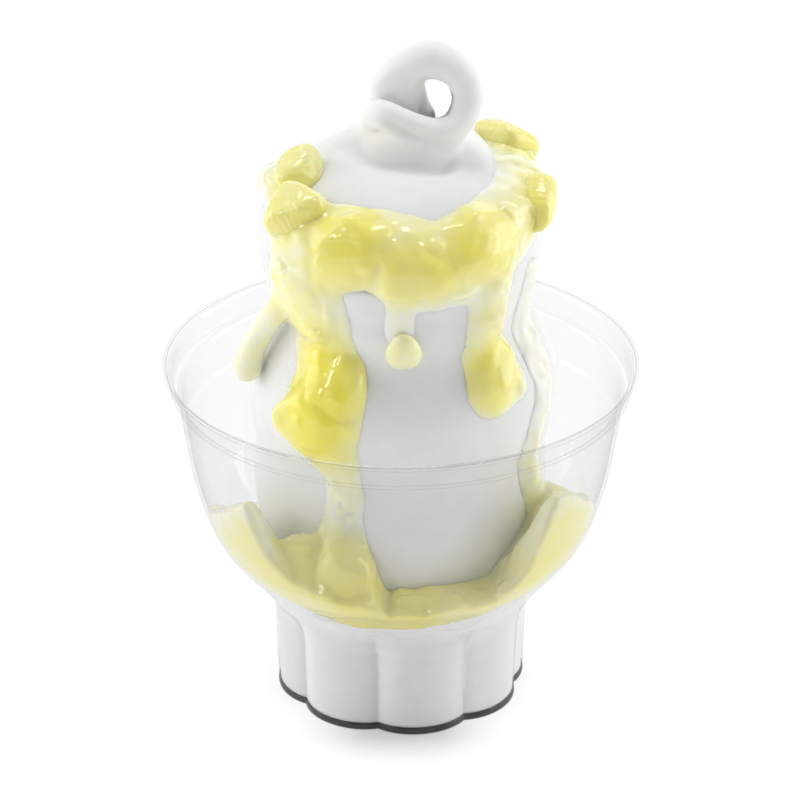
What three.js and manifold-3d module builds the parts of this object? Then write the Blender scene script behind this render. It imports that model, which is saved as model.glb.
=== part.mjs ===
// A soft-serve sundae in a clear plastic cup: three stacked tiers of ice cream under a looped
// curl, with pineapple sauce that runs down them into the bowl, and pieces of pineapple.
//
// Millimetres, +Z up, the cup's foot on z = 0, the cup's axis on the Z axis, the front at -Y.
// Angles are in degrees around the axis, from the front towards +X.

import * as THREE from 'three';
import Module from 'manifold-3d';

const wasm = await Module();
wasm.setup();

// ---------------------------------------------------------------- driving sizes

const RIM_RADIUS = 47.5;
const CUP_HEIGHT = 72;
const WALL = 0.7;
const FLOOR = 1.2;
const GAP = 0.3;

const FOOT_RADIUS = 25.2;
const FOOT_TOP = 17;
const FOOT_RIM = 1.6;
const LOBES = 8;
const LOBE_DEPTH = 2;
const FIRST_CREASE = 33.5;
const FLUTE_END = 24;

const COLUMNS = 40;
const SAUCE_COLUMNS = 60;
const ICE_ROWS = 23;
const SAUCE_ROWS = 34;

// Where each tier of ice cream is widest, and the crease that it sits on: [radius, height].
const FOOT_FILL_TOP = [24.7, 19];
const LOW_TIER = { waist: [25.8, 26], flank: [27.9, 34], belly: [29, 46], crease: [28.7, 56.5] };
const MIDDLE_TIER = {
  shoulder: [29.6, 61],
  belly: [30.6, 69.5],
  flank: [29.4, 76],
  neck: [27.6, 80.5],
  crease: [25.5, 85.5],
};
const TOP_TIER = { shoulder: [27, 91.5], belly: [28.6, 99], brow: [26.6, 108.5] };
const DOME = { edge: [24, 111.5], middle: [18, 115], top: [10, 118] };

const SAUCE_COLOUR = '#e3d98f';
const PINEAPPLE_COLOUR = '#dccf6a';
const ICE_CREAM_COLOUR = '#eceae6';
const CUP_COLOUR = '#f2f5f6';

// ---------------------------------------------------------------- plain helpers

const radians = THREE.MathUtils.degToRad;

// The point at an angle, a radius from the axis and a height.
function polar(angle, radius, height) {
  const turn = radians(angle);
  return new THREE.Vector3(radius * Math.sin(turn), -radius * Math.cos(turn), height);
}

// Angles that go once round the axis, starting in a crease of the foot.
function around(columns) {
  return Array.from({ length: columns }, (_, column) => FIRST_CREASE + (360 * column) / columns);
}

// 1 below `low`, 0 above `high`, and a smooth fall between them.
function fade(value, low, high) {
  return 1 - THREE.MathUtils.smoothstep(value, low, high);
}

// A closed skin over rings of equal length; a fan of faces shuts the first and the last ring.
function loft(rings) {
  const columns = rings[0].length;
  const points = rings.flat();
  const faces = [];
  for (let row = 0; row < rings.length - 1; row += 1) {
    for (let column = 0; column < columns; column += 1) {
      const next = (column + 1) % columns;
      const a = row * columns + column;
      const b = row * columns + next;
      const c = b + columns;
      const d = a + columns;
      faces.push(a, b, c, a, c, d);
    }
  }
  const shut = (ring, start, facesDown) => {
    const centre = points.length;
    const middle = ring.reduce((sum, point) => sum.add(point), new THREE.Vector3());
    points.push(middle.divideScalar(columns));
    for (let column = 0; column < columns; column += 1) {
      const a = start + column;
      const b = start + ((column + 1) % columns);
      faces.push(centre, facesDown ? b : a, facesDown ? a : b);
    }
  };
  shut(rings[0], 0, true);
  shut(rings[rings.length - 1], (rings.length - 1) * columns, false);
  return solidShape(points.flatMap((point) => point.toArray()), faces);
}

function solidShape(positions, faces) {
  const shape = new THREE.BufferGeometry();
  shape.setAttribute('position', new THREE.BufferAttribute(Float32Array.from(positions), 3));
  shape.setIndex(faces);
  return shape;
}

// From a closed shape to a solid that can be cut or joined, and back.
function toSolid(shape) {
  const vertProperties = shape.getAttribute('position').array;
  const triVerts = Uint32Array.from(shape.getIndex().array);
  return new wasm.Manifold(new wasm.Mesh({ numProp: 3, vertProperties, triVerts }));
}

function toShape(solid) {
  const mesh = solid.getMesh();
  return solidShape(mesh.vertProperties, Array.from(mesh.triVerts));
}

// The largest of the separate lumps in a solid.
function largest(solid) {
  const lumps = solid.decompose();
  return lumps.reduce((best, lump) => (lump.volume() > best.volume() ? lump : best));
}

// ---------------------------------------------------------------- the clear cup

// 0 in the middle of a lobe of the foot and 1 in the sharp crease between two lobes.
function creaseDepth(angle) {
  const lobe = 360 / LOBES;
  const place = THREE.MathUtils.euclideanModulo(angle - FIRST_CREASE, lobe) / lobe;
  return Math.abs(2 * place - 1) ** 2.2;
}

function flute(angle, height) {
  return LOBE_DEPTH * creaseDepth(angle) * fade(height, FOOT_TOP - 1, FLUTE_END);
}

// The outside of the cup from its foot to its rim: [radius, height].
const CUP_OUTSIDE = [
  [FOOT_RADIUS, 0],
  [FOOT_RADIUS, FOOT_RIM],
  [FOOT_RADIUS + 0.3, 8],
  [FOOT_RADIUS + 0.5, FOOT_TOP],
  [26.2, 20.5],
  [28.7, 24.5],
  [31.5, 28],
  [34.7, 31.5],
  [37.4, 35.2],
  [39.6, 40],
  [41.9, 48],
  [43.3, 56.5],
  [43.6, 61.5],
  [44.4, 65.5],
  [45.9, 66.6],
  [46.5, CUP_HEIGHT - 1.6],
  [RIM_RADIUS, CUP_HEIGHT - 1.2],
  [RIM_RADIUS, CUP_HEIGHT],
];

// The inside radius of the cup at a height, before the flutes.
function cupInside(height) {
  const above = CUP_OUTSIDE.findIndex(([, level]) => level >= height);
  const [lowRadius, low] = CUP_OUTSIDE[Math.max(above - 1, 0)];
  const [highRadius, high] = CUP_OUTSIDE[above];
  const share = high > low ? (height - low) / (high - low) : 0;
  const slant = Math.hypot(high - low, highRadius - lowRadius) / Math.max(high - low, 0.01);
  return THREE.MathUtils.lerp(lowRadius, highRadius, share) - WALL * Math.min(slant, 1.6);
}

function cupShape() {
  const ring = ([radius, height]) => {
    const place = (angle) => polar(angle, radius - flute(angle, height), height);
    return around(COLUMNS).map(place);
  };
  const insideHeights = [
    CUP_HEIGHT, CUP_HEIGHT - 1.6, 66.2, 64.6, 61, 54, 46, 39, 34, 30, 26.5, 22.5,
  ];
  const inside = insideHeights.map((height) => [cupInside(height), height]);
  const lowest = cupInside(FOOT_TOP);
  const floorRings = [[lowest, FOOT_TOP], [FOOT_RADIUS - WALL, FLOOR]];
  return loft([...CUP_OUTSIDE, ...inside, ...floorRings].map(ring));
}

// ---------------------------------------------------------------- the ice cream

// The tiers' outline above the foot, at even steps along it: [radius, height].
function tierOutline(steps) {
  const marks = [
    FOOT_FILL_TOP,
    LOW_TIER.waist,
    LOW_TIER.flank,
    LOW_TIER.belly,
    LOW_TIER.crease,
    MIDDLE_TIER.shoulder,
    MIDDLE_TIER.belly,
    MIDDLE_TIER.flank,
    MIDDLE_TIER.neck,
    MIDDLE_TIER.crease,
    TOP_TIER.shoulder,
    TOP_TIER.belly,
    TOP_TIER.brow,
    DOME.edge,
    DOME.middle,
    DOME.top,
  ];
  const curve = new THREE.SplineCurve(marks.map(([radius, height]) => new THREE.Vector2(radius, height)));
  return curve.getSpacedPoints(steps);
}

// Soft ice cream isn't quite round: how far it departs from its outline at a place.
function unevenness(angle, height) {
  const slow = 0.35 * Math.sin(radians(2 * angle + 5 * height));
  const quick = 0.2 * Math.sin(radians(3 * angle - 8 * height + 40));
  return (slow + quick) * (1 - fade(height, 26, 36)) * fade(height, 110, 116);
}

// A point of the tiers' skin and the direction straight out of it.
function skinAt(outline, row, angle) {
  const here = outline[row];
  const before = outline[Math.max(row - 1, 0)];
  const after = outline[Math.min(row + 1, outline.length - 1)];
  const along = after.clone().sub(before).normalize();
  const radius = here.x + unevenness(angle, here.y) - flute(angle, here.y);
  return { point: polar(angle, radius, here.y), out: polar(angle, along.y, -along.x) };
}

// The tiers from the foot's floor to the top of the dome, all grown outwards by `grow`.
function tiersShape(grow) {
  const outline = tierOutline(ICE_ROWS);
  const footFill = [FLOOR + GAP - grow, FOOT_TOP / 2, FOOT_TOP - 1].map((height) => {
    const radius = FOOT_RADIUS - WALL - GAP + grow;
    return around(COLUMNS).map((angle) => polar(angle, radius - flute(angle, height), height));
  });
  const tiers = outline.map((_, row) => around(COLUMNS).map((angle) => {
    const { point, out } = skinAt(outline, row, angle);
    return point.addScaledVector(out, grow);
  }));
  return loft([...footFill, ...tiers]);
}

// A round strand along a smooth line through knots, [x, y, z, radius], grown by `grow`.
function strandShape(knots, steps, sides, grow = 0) {
  const marks = knots.map(([x, y, z]) => new THREE.Vector3(x, y, z));
  const line = new THREE.CatmullRomCurve3(marks, false, 'centripetal');
  const frames = line.computeFrenetFrames(steps, false);
  const rings = [];
  for (let step = 0; step <= steps; step += 1) {
    const along = line.getUtoTmapping(step / steps) * (knots.length - 1);
    const knot = Math.min(Math.floor(along), knots.length - 2);
    const radius = THREE.MathUtils.lerp(knots[knot][3], knots[knot + 1][3], along - knot) + grow;
    const centre = line.getPointAt(step / steps);
    rings.push(Array.from({ length: sides }, (_, side) => {
      const turn = (2 * Math.PI * side) / sides;
      const point = centre.clone();
      point.addScaledVector(frames.normals[step], radius * Math.cos(turn));
      return point.addScaledVector(frames.binormals[step], radius * Math.sin(turn));
    }));
  }
  return loft(rings);
}

// The last strand starts on the right of the dome and winds round the back of the neck to the
// left. It crosses the front downwards to the right, climbs the right side, goes over the top
// and down the left, and its thin tail curls up inside the loop.
const CURL = [
  [12.8, -2.6, 112.4, 3.6],
  [12.4, 3, 113.4, 3.9],
  [9.6, 9, 114.6, 4],
  [3.5, 11, 117, 4],
  [-2.6, 8, 119.2, 3.7],
  [-4.6, 3.6, 122.2, 3.1],
  [-4.9, -0.6, 125.1, 2.6],
  [-3.1, -4, 127, 2.2],
  [0.2, -5.4, 126.2, 2.1],
  [3.6, -5.7, 124.8, 2.2],
  [7.2, -5, 123.6, 2.5],
  [10.8, -3.2, 124.2, 3],
  [13, -0.8, 128.4, 3.2],
  [11.2, 0.4, 133.5, 3.5],
  [5.8, 1, 135.9, 4],
  [0.4, 1.4, 133.5, 3.7],
  [-2.9, 1.6, 129.4, 3.5],
  [-1.4, 1.8, 125.4, 3],
];
const CURL_TAIL = [
  [-1.4, 1.8, 125.4, 3],
  [1.8, 1.6, 124, 2.4],
  [4.8, 1.6, 123.6, 1.9],
  [4, 1.9, 126.4, 1.5],
  [3.5, 2, 129.2, 1.3],
  [2.4, 1.6, 132, 1.6],
];
// Between the tail and the left of the loop the ice cream has closed up.
const CURL_WEB = [
  [0.6, 0.6, 125, 2.1],
  [1.4, 0.9, 128.4, 2.3],
  [1.6, 1, 131.6, 2.2],
];
// A second, thinner ridge lies under the strand where it crosses the front.
const CURL_RIDGE = [
  [-4.9, 1.4, 122.2, 2.7],
  [-5.2, -1.8, 124.4, 2.2],
  [-3.9, -4.9, 125.3, 1.6],
  [-1.8, -6.3, 124.2, 1.3],
  [0.6, -7, 122.8, 1.1],
  [2.7, -7.3, 121.5, 0.8],
];
// On the left the dome sweeps up into the neck.
const CURL_ROOT = [
  [-17, 4, 110.6, 3],
  [-13, 4.6, 113.8, 3.4],
  [-8.8, 5, 116.4, 3.6],
  [-4, 4, 118.6, 4.4],
];
// The neck under the loop, round an upright axis of its own: [radius, height].
const NECK = { x: 2.7, y: 2.2 };
const NECK_OUTLINE = [
  [10.2, 112],
  [10.1, 118],
  [9.8, 121],
  [9.3, 123],
  [7.8, 125],
  [5, 126.4],
];
// The neck's top falls away to the back, so that the loop's hole stays open.
const NECK_TOP = { height: 119.9, fall: 0.66 };

function neckSolid(grow) {
  const sides = 24;
  const ring = ([radius, height]) => around(sides).map((angle) => {
    const point = polar(angle, radius + grow, height);
    return point.add(new THREE.Vector3(NECK.x, NECK.y, 0));
  });
  const corners = [[-20, -20], [20, -20], [20, 20], [-20, 20]];
  const above = loft([
    corners.map(([x, y]) => new THREE.Vector3(x, y, NECK_TOP.height + grow - NECK_TOP.fall * y)),
    corners.map(([x, y]) => new THREE.Vector3(x, y, CUP_HEIGHT * 2)),
  ]);
  return toSolid(loft(NECK_OUTLINE.map(ring))).subtract(toSolid(above));
}

// The ice cream, all grown outwards by `grow`.
function iceCreamSolid(grow) {
  const strands = [
    strandShape(CURL, 48, 10, grow),
    strandShape(CURL_TAIL, 12, 8, grow),
    strandShape(CURL_WEB, 4, 8, grow),
    strandShape(CURL_RIDGE, 12, 8, grow),
    strandShape(CURL_ROOT, 6, 10, grow),
  ];
  const body = toSolid(tiersShape(grow)).add(neckSolid(grow));
  return strands.reduce((whole, strand) => whole.add(toSolid(strand)), body);
}

// ---------------------------------------------------------------- the sauce

// Each run of sauce is a line over the skin: [angle, height, half width, thickness].
const COLLAR = [
  [-62, 110, 5.6, 2.6],
  [-45, 107, 8.5, 3],
  [-30, 107, 8.8, 3.2],
  [-14, 108.6, 7.4, 3],
  [0, 106.6, 8.4, 3.1],
  [14, 103.8, 8, 3.3],
  [28, 105.5, 8.6, 3.2],
  [42, 107.5, 8, 3],
  [60, 108.5, 7.2, 2.8],
  [78, 109.5, 6.6, 2.6],
  [98, 110.5, 6.4, 2.6],
  [118, 109.5, 6.4, 2.6],
  [138, 104, 6.6, 2.6],
  [160, 100, 7, 2.8],
  [184, 101, 6.2, 2.6],
  [206, 99.5, 7, 2.8],
  [230, 102, 6, 2.6],
  [250, 107, 5.4, 2.6],
  [268, 110.5, 5, 2.6],
  [284, 110.5, 5, 2.6],
  [298, 109.5, 6, 2.6],
];
const MAIN_DRIP = [
  [-44, 101, 9.5, 2.6],
  [-42, 94, 9, 2.4],
  [-37, 87, 7.6, 2.4],
  [-31, 80, 7, 2.9],
  [-32, 73, 8.8, 3.4],
  [-33, 68, 7.8, 3.2],
  [-25, 62, 4.8, 2.4],
  [-23, 54, 3.8, 2.2],
  [-24, 52, 3.8, 2.2],
];
const LEFT_DRIP = [
  [-46, 101, 6, 2.4],
  [-52, 95, 5.4, 2.2],
  [-59, 90, 4.4, 2],
];
const RIGHT_DRIP = [
  [38, 100, 5.8, 2.5],
  [38, 92, 4.8, 2.4],
  [36.5, 86, 4.8, 2.4],
  [39, 79.5, 5.2, 2.5],
  [37.5, 75.5, 5.6, 2.6],
];
const RIGHT_DRIP_SIDE = [
  [40, 85, 4, 2],
  [45, 79.5, 4.2, 2.2],
  [50, 75.2, 3.2, 2],
];
const BACK_DRIP = [
  [166, 97, 6, 2.4],
  [169, 88, 4.4, 2.2],
  [168, 80, 3.8, 2.4],
  [169, 72, 4.2, 2.8],
];
const BACK_LEFT_DRIP = [
  [212, 97, 5, 2.4],
  [211, 89, 3.8, 2.2],
  [213, 82, 3.6, 2.4],
];
// The drip on the left hangs clear of the tier below: [angle, radius, height, half thickness].
const LEFT_TAIL = [
  [-52, 26.5, 96, 2.6],
  [-58, 27.6, 91, 2.5],
  [-66, 29.3, 84.6, 2.5],
  [-68.5, 31.4, 79.7, 2.6],
  [-69.5, 32.3, 75.6, 2.8],
  [-69.5, 32.3, 73.6, 1.8],
];

// Steps along the skin between the knots of a run, as points with a width and a thickness.
function runPoints(run, outline) {
  const heights = outline.map((mark) => mark.y);
  const place = (angle, height) => {
    const above = heights.findIndex((level) => level >= height);
    const row = THREE.MathUtils.clamp(above, 1, heights.length - 1);
    const share = (height - heights[row - 1]) / (heights[row] - heights[row - 1]);
    const radius = THREE.MathUtils.lerp(outline[row - 1].x, outline[row].x, share);
    return polar(angle, radius + unevenness(angle, height), height);
  };
  const points = [];
  for (let knot = 0; knot < run.length - 1; knot += 1) {
    for (let step = 0; step < 4; step += 1) {
      const mix = (index) => THREE.MathUtils.lerp(run[knot][index], run[knot + 1][index], step / 4);
      points.push({ at: place(mix(0), mix(1)), width: mix(2), thickness: mix(3) });
    }
  }
  const [angle, height, width, thickness] = run[run.length - 1];
  points.push({ at: place(angle, height), width, thickness });
  return points;
}

// How thick the sauce lies over a point: a low bead along each run, and under 0 outside them.
function sauceThickness(point, runs) {
  let thickest = -1.2;
  for (const { at, width, thickness } of runs) {
    const away = point.distanceTo(at) / width;
    thickest = Math.max(thickest, thickness * (1 - away ** 2.6));
  }
  return thickest;
}

// The sauce of some runs, as the tiers' skin raised by its thickness.
function sauceSolid(lines) {
  const outline = tierOutline(SAUCE_ROWS).filter((mark) => mark.y > 36);
  const runs = lines.flatMap((line) => runPoints(line, outline));
  const rings = outline.map((mark, row) => around(SAUCE_COLUMNS).map((angle) => {
    const { point, out } = skinAt(outline, row, angle);
    const edge = row === 0 || row === outline.length - 1;
    return point.addScaledVector(out, edge ? -1.2 : sauceThickness(point, runs));
  }));
  return toSolid(loft(rings));
}

function leftTailSolid() {
  const knots = LEFT_TAIL.map(([angle, radius, height, half]) => {
    return [...polar(angle, radius, height).toArray(), half];
  });
  return toSolid(strandShape(knots, 12, 10));
}

// The sauce that has run down into the bowl lies between the low tier and the wall. How high it
// stands, by angle: [angle, height at the wall, height at the ice cream].
const POOL_LEVELS = [
  [-180, 31.5, 32.5],
  [-150, 31.5, 32.5],
  [-120, 32, 33],
  [-105, 33.5, 34.5],
  [-92, 37.5, 37.5],
  [-82, 41, 39],
  [-73, 44, 38.5],
  [-66, 46.8, 38.5],
  [-60, 49, 38.5],
  [-54, 51.3, 38],
  [-49, 53, 38],
  [-46, 53, 38],
  [-43.5, 48.5, 38.5],
  [-41, 44, 40],
  [-37, 41, 42.5],
  [-33, 39, 45.5],
  [-26, 37, 46.5],
  [-19, 36, 46],
  [-12, 35.3, 42.5],
  [-8, 34.4, 37.5],
  [-5, 33, 34.5],
  [0, 33, 35],
  [20, 33.5, 35],
  [30, 34.5, 35],
  [36, 37, 35],
  [39.5, 41, 35.5],
  [41.5, 47, 36.5],
  [44, 52.5, 37.5],
  [47, 55, 38],
  [51, 56, 39],
  [57, 53.5, 42],
  [62, 50.6, 45.5],
  [67, 48.5, 48.5],
  [73, 46, 48.5],
  [79, 43, 45],
  [86, 40, 41.5],
  [94, 37, 38.5],
  [107, 33.5, 35],
  [120, 32, 33.5],
  [150, 31.5, 32.5],
  [180, 31.5, 32.5],
];
const POOL_FLOOR = 24.5;

// How high the sauce stands at an angle: at the wall and at the ice cream.
function poolTop(angle) {
  const turned = THREE.MathUtils.euclideanModulo(angle + 180, 360) - 180;
  const next = Math.max(POOL_LEVELS.findIndex(([mark]) => mark > turned), 1);
  const before = POOL_LEVELS[next - 1];
  const after = POOL_LEVELS[next];
  const share = (turned - before[0]) / (after[0] - before[0]);
  return [1, 2].map((column) => THREE.MathUtils.lerp(before[column], after[column], share));
}

function poolShape() {
  const outline = tierOutline(SAUCE_ROWS);
  const tierRadius = (height) => {
    const row = outline.findIndex((mark) => mark.y >= height);
    const share = (height - outline[row - 1].y) / (outline[row].y - outline[row - 1].y);
    return THREE.MathUtils.lerp(outline[row - 1].x, outline[row].x, share);
  };
  const shares = [0, 0.2, 0.4, 0.6, 0.8, 1];
  const gap = GAP + 0.1;
  const section = (angle) => {
    const [atWall, atSkin] = poolTop(angle);
    const wall = shares.map((share) => {
      const height = THREE.MathUtils.lerp(POOL_FLOOR, atWall, share);
      return [cupInside(height) - gap - flute(angle, height), height];
    });
    const inner = shares.map((share) => {
      const height = THREE.MathUtils.lerp(atSkin, POOL_FLOOR, share);
      return [tierRadius(height) + unevenness(angle, height) - flute(angle, height) + gap, height];
    });
    return [...wall, ...inner].map(([radius, height]) => polar(angle, radius, height));
  };
  return closedBand(around(COLUMNS).map(section));
}

// All the room inside the bowl, short of its wall by a gap.
function bowlRoomShape() {
  const heights = [POOL_FLOOR, 25, 28, 31, 35, 40, 46, 52, 58];
  return loft(heights.map((height) => around(COLUMNS).map((angle) => {
    return polar(angle, cupInside(height) - GAP - flute(angle, height), height);
  })));
}

// A closed skin over sections that follow each other round to the first again.
function closedBand(sections) {
  const count = sections[0].length;
  const faces = [];
  sections.forEach((_, index) => {
    const here = index * count;
    const there = ((index + 1) % sections.length) * count;
    for (let side = 0; side < count; side += 1) {
      const next = (side + 1) % count;
      faces.push(here + side, there + side, there + next, here + side, there + next, here + next);
    }
  });
  return solidShape(sections.flat().flatMap((point) => point.toArray()), faces);
}

// ---------------------------------------------------------------- the pineapple

// A block, a little wedge-shaped and grown by `grow` on every side. `softness` takes it from a
// block with true corners at 0 to a ball at 1.
function blockShape({ size, softness = 0.5, divisions = 2 }, grow) {
  const shape = new THREE.BoxGeometry(1, 1, 1, divisions, divisions, divisions);
  const half = new THREE.Vector3(...size).addScalar(2 * grow);
  const corners = shape.getAttribute('position');
  const places = new Map();
  const positions = [];
  const indexOf = (vertex) => {
    const point = new THREE.Vector3().fromBufferAttribute(corners, vertex);
    const key = point.toArray().map((value) => Math.round(value * 2 * divisions)).join();
    if (!places.has(key)) {
      places.set(key, positions.length / 3);
      const round = point.clone().normalize().multiplyScalar(0.62 - 0.12 * softness);
      point.lerp(round, softness);
      point.x *= 1 - 0.3 * point.y;
      positions.push(...point.multiply(half).toArray());
    }
    return places.get(key);
  };
  const faces = Array.from(shape.getIndex().array, indexOf);
  return solidShape(positions, faces);
}

// Where each piece on the tiers lies: its angle and height on the skin, how far its middle is
// lifted off the skin, its width, height and depth, and how far it is turned in its own plane.
const TIER_PIECES = [
  { name: 'pineapple_left', angle: -50, height: 111, lift: 2, size: [11.5, 10.5, 8.5], spin: 35 },
  { name: 'pineapple_left_high', angle: -72, height: 113.8, lift: 1.8, size: [10.6, 9, 8.4], spin: -24 },
  { name: 'pineapple_right', angle: 71, height: 109.4, lift: 2, size: [11.2, 8.2, 8.4], spin: 14 },
  { name: 'pineapple_right_high', angle: 122, height: 112, lift: 1.7, size: [12.4, 11, 8.4], spin: 14 },
  { name: 'pineapple_front_left', angle: -22, height: 106.8, lift: 1.6, size: [10.5, 10.5, 6], spin: 30 },
  { name: 'pineapple_front', angle: 6, height: 103.8, lift: 1.5, size: [10.5, 8.5, 5.6], spin: 8 },
  { name: 'pineapple_front_right', angle: 35, height: 108, lift: 1.6, size: [11, 9.5, 6], spin: -12 },
  { name: 'pineapple_back', angle: 162, height: 101, lift: 1.9, size: [11, 10, 7], spin: 40 },
  { name: 'pineapple_back_left', angle: 214, height: 100, lift: 1.9, size: [11, 9.5, 7], spin: -25 },
  { name: 'pineapple_main_drip', angle: -37, height: 71, lift: 1.7, size: [12.5, 10.5, 6], spin: 16 },
  { name: 'pineapple_main_drip_high', angle: -26, height: 80, lift: 1.4, size: [8.5, 11, 5], spin: 5 },
  { name: 'pineapple_right_drip', angle: 39, height: 79.3, lift: 1.6, size: [9, 11.5, 5.4], spin: -22 },
];
// Where each piece in the bowl lies: its angle, height and distance from the axis.
const BOWL_PIECES = [
  { name: 'pineapple_bowl_left', angle: -37, height: 40.5, radius: 33, size: [9.6, 8.4, 6.4], spin: 10 },
  { name: 'pineapple_bowl_front', angle: -19, height: 39.5, radius: 32.4, size: [10.5, 8.6, 6], spin: -12 },
  { name: 'pineapple_bowl_right', angle: 65, height: 43, radius: 34, size: [10.4, 9, 6.4], spin: 6 },
  { name: 'pineapple_bowl_back', angle: 150, height: 32, radius: 31.6, size: [12, 8, 6.5], spin: 0 },
];

// The frame of a piece: its width runs round the axis, its height up and its depth straight out.
function pieceFrame(piece) {
  let middle = polar(piece.angle, piece.radius, piece.height);
  let out = polar(piece.angle, 1, 0);
  if (piece.lift) {
    const outline = tierOutline(120);
    const place = skinAt(outline, outline.findIndex((mark) => mark.y >= piece.height), piece.angle);
    out = place.out;
    middle = place.point.addScaledVector(out, piece.lift);
  }
  const side = polar(piece.angle + 90, 1, 0);
  const frame = new THREE.Matrix4().makeBasis(side, new THREE.Vector3().crossVectors(out, side), out);
  frame.multiply(new THREE.Matrix4().makeRotationZ(radians(piece.spin)));
  return frame.setPosition(middle);
}

function pieceSolid(piece, grow) {
  return toSolid(blockShape(piece, grow).applyMatrix4(pieceFrame(piece)));
}

// The single drop of sauce on the front of the middle tier.
const DROP = {
  angle: 1,
  height: 87.6,
  lift: 0.6,
  size: [7, 8.4, 5.4],
  spin: 180,
  softness: 1,
  divisions: 4,
};

// ---------------------------------------------------------------- the whole object

function plastic(colour, roughness) {
  return new THREE.MeshStandardMaterial({ color: colour, roughness, metalness: 0 });
}

const object = new THREE.Group();

function addPart(name, shape, material) {
  const mesh = new THREE.Mesh(shape, material);
  mesh.name = name;
  object.add(mesh);
}

const clearPlastic = plastic(CUP_COLOUR, 0.08);
clearPlastic.transparent = true;
clearPlastic.opacity = 0.25;
const iceCreamSkin = plastic(ICE_CREAM_COLOUR, 0.55);
const sauceSkin = plastic(SAUCE_COLOUR, 0.12);
const pineappleSkin = plastic(PINEAPPLE_COLOUR, 0.2);

addPart('cup', cupShape(), clearPlastic);
addPart('ice_cream', toShape(iceCreamSolid(0)), iceCreamSkin);

const iceCreamRoom = iceCreamSolid(GAP);
const bowlRoom = toSolid(bowlRoomShape());
const runs = [COLLAR, MAIN_DRIP, LEFT_DRIP, RIGHT_DRIP, RIGHT_DRIP_SIDE, BACK_DRIP, BACK_LEFT_DRIP];

// Each piece of fruit leaves room for what lies under it and for the pieces before it, and the
// sauce leaves room for them all.
let taken = iceCreamRoom;
for (const piece of TIER_PIECES) {
  addPart(piece.name, toShape(largest(pieceSolid(piece, 0).subtract(taken))), pineappleSkin);
  taken = taken.add(pieceSolid(piece, GAP));
}
const collar = sauceSolid(runs).add(leftTailSolid()).subtract(taken);
addPart('sauce_collar', toShape(largest(collar)), sauceSkin);
addPart('sauce_drop', toShape(pieceSolid(DROP, 0).subtract(iceCreamRoom)), sauceSkin);

taken = iceCreamRoom;
for (const piece of BOWL_PIECES) {
  const inBowl = pieceSolid(piece, 0).intersect(bowlRoom).subtract(taken);
  addPart(piece.name, toShape(largest(inBowl)), pineappleSkin);
  taken = taken.add(pieceSolid(piece, GAP));
}
addPart('sauce_pool', toShape(largest(toSolid(poolShape()).subtract(taken))), sauceSkin);

export default object;
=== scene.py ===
"""Looks of a soft-serve sundae with pineapple topping in a clear plastic cup.

Blender 4.5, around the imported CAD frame. Shapes are worked out in millimetres, in the frame's own
axes: +Z up, the front at -Y, angles in degrees round the axis from the front towards +X.
"""

import math

import bpy
import numpy as np
from mathutils import Matrix, Vector


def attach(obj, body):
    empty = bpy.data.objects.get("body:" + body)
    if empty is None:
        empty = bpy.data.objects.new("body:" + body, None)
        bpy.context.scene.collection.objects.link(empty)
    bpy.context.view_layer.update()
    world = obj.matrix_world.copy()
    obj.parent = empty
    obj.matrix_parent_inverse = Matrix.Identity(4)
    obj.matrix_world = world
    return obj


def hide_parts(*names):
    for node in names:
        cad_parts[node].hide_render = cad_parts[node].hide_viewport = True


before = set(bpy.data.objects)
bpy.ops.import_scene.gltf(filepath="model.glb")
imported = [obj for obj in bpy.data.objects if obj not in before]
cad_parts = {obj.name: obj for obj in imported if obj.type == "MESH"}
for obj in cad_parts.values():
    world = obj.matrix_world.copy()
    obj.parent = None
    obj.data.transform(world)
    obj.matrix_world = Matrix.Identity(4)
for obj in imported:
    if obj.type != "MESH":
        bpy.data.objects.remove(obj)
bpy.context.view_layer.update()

MM = 0.001

# ---------------- sizes shared with the CAD

RIM_RADIUS = 47.5
CUP_HEIGHT = 72
WALL = 0.7
FLOOR = 1.2
FOOT_RADIUS = 25.2
FOOT_TOP = 17
FOOT_RIM = 1.5
LOBES = 8
LOBE_DEPTH = 2
FIRST_CREASE = 33.5
FLUTE_END = 24

# The outside of the cup from the top of the foot's rim, a dark ring of painted shadow, to the lip:
# (radius, height).
CUP_OUTSIDE = [
    (FOOT_RADIUS, FOOT_RIM), (25.35, 5), (25.5, 10), (25.65, 14), (25.7, FOOT_TOP), (26.2, 20.5),
    (28.7, 24.5), (31.5, 28), (34.7, 31.5), (37.4, 35.2), (39.6, 40), (41.9, 48), (42.9, 54),
    (43.25, 57), (43.35, 57.6), (43.6, 58.2), (43.7, 58.8), (43.9, 61.5), (44.3, 64.4),
    (44.5, 65.6), (44.8, 66.0), (45.7, 66.3), (45.95, 66.6), (46.1, 67.4), (46.4, 69.6),
    (46.5, 70.4), (46.8, 70.8), (47.3, 70.9), (RIM_RADIUS, 71.2), (47.45, 71.8), (47.0, CUP_HEIGHT),
]

# The tiers of ice cream above the foot: (radius, height).
TIERS = [
    (24.7, 19), (25.8, 26), (27.9, 34), (29, 46), (28.7, 56.5), (29.6, 61), (30.6, 69.5),
    (29.4, 76), (27.6, 80.5), (25.5, 85.5), (27, 91.5), (28.6, 99), (26.6, 108.5), (24, 111.5),
    (18, 115), (10, 118),
]

# ---------------- plain helpers


def smooth_step(value, low, high):
    share = np.clip((value - low) / (high - low), 0, 1)
    return share * share * (3 - 2 * share)


def fade(value, low, high):
    """1 below low, 0 above high, and a smooth fall between them."""
    return 1 - smooth_step(value, low, high)


def bump(value, centre, width):
    """A soft hill, 1 at its centre."""
    return np.exp(-(((value - centre) / width) ** 2))


def joined(a, b, blend):
    """The union of two fields, rounded over a blend."""
    share = np.clip(0.5 + 0.5 * (b - a) / blend, 0, 1)
    return b * (1 - share) + a * share - blend * share * (1 - share)


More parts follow.
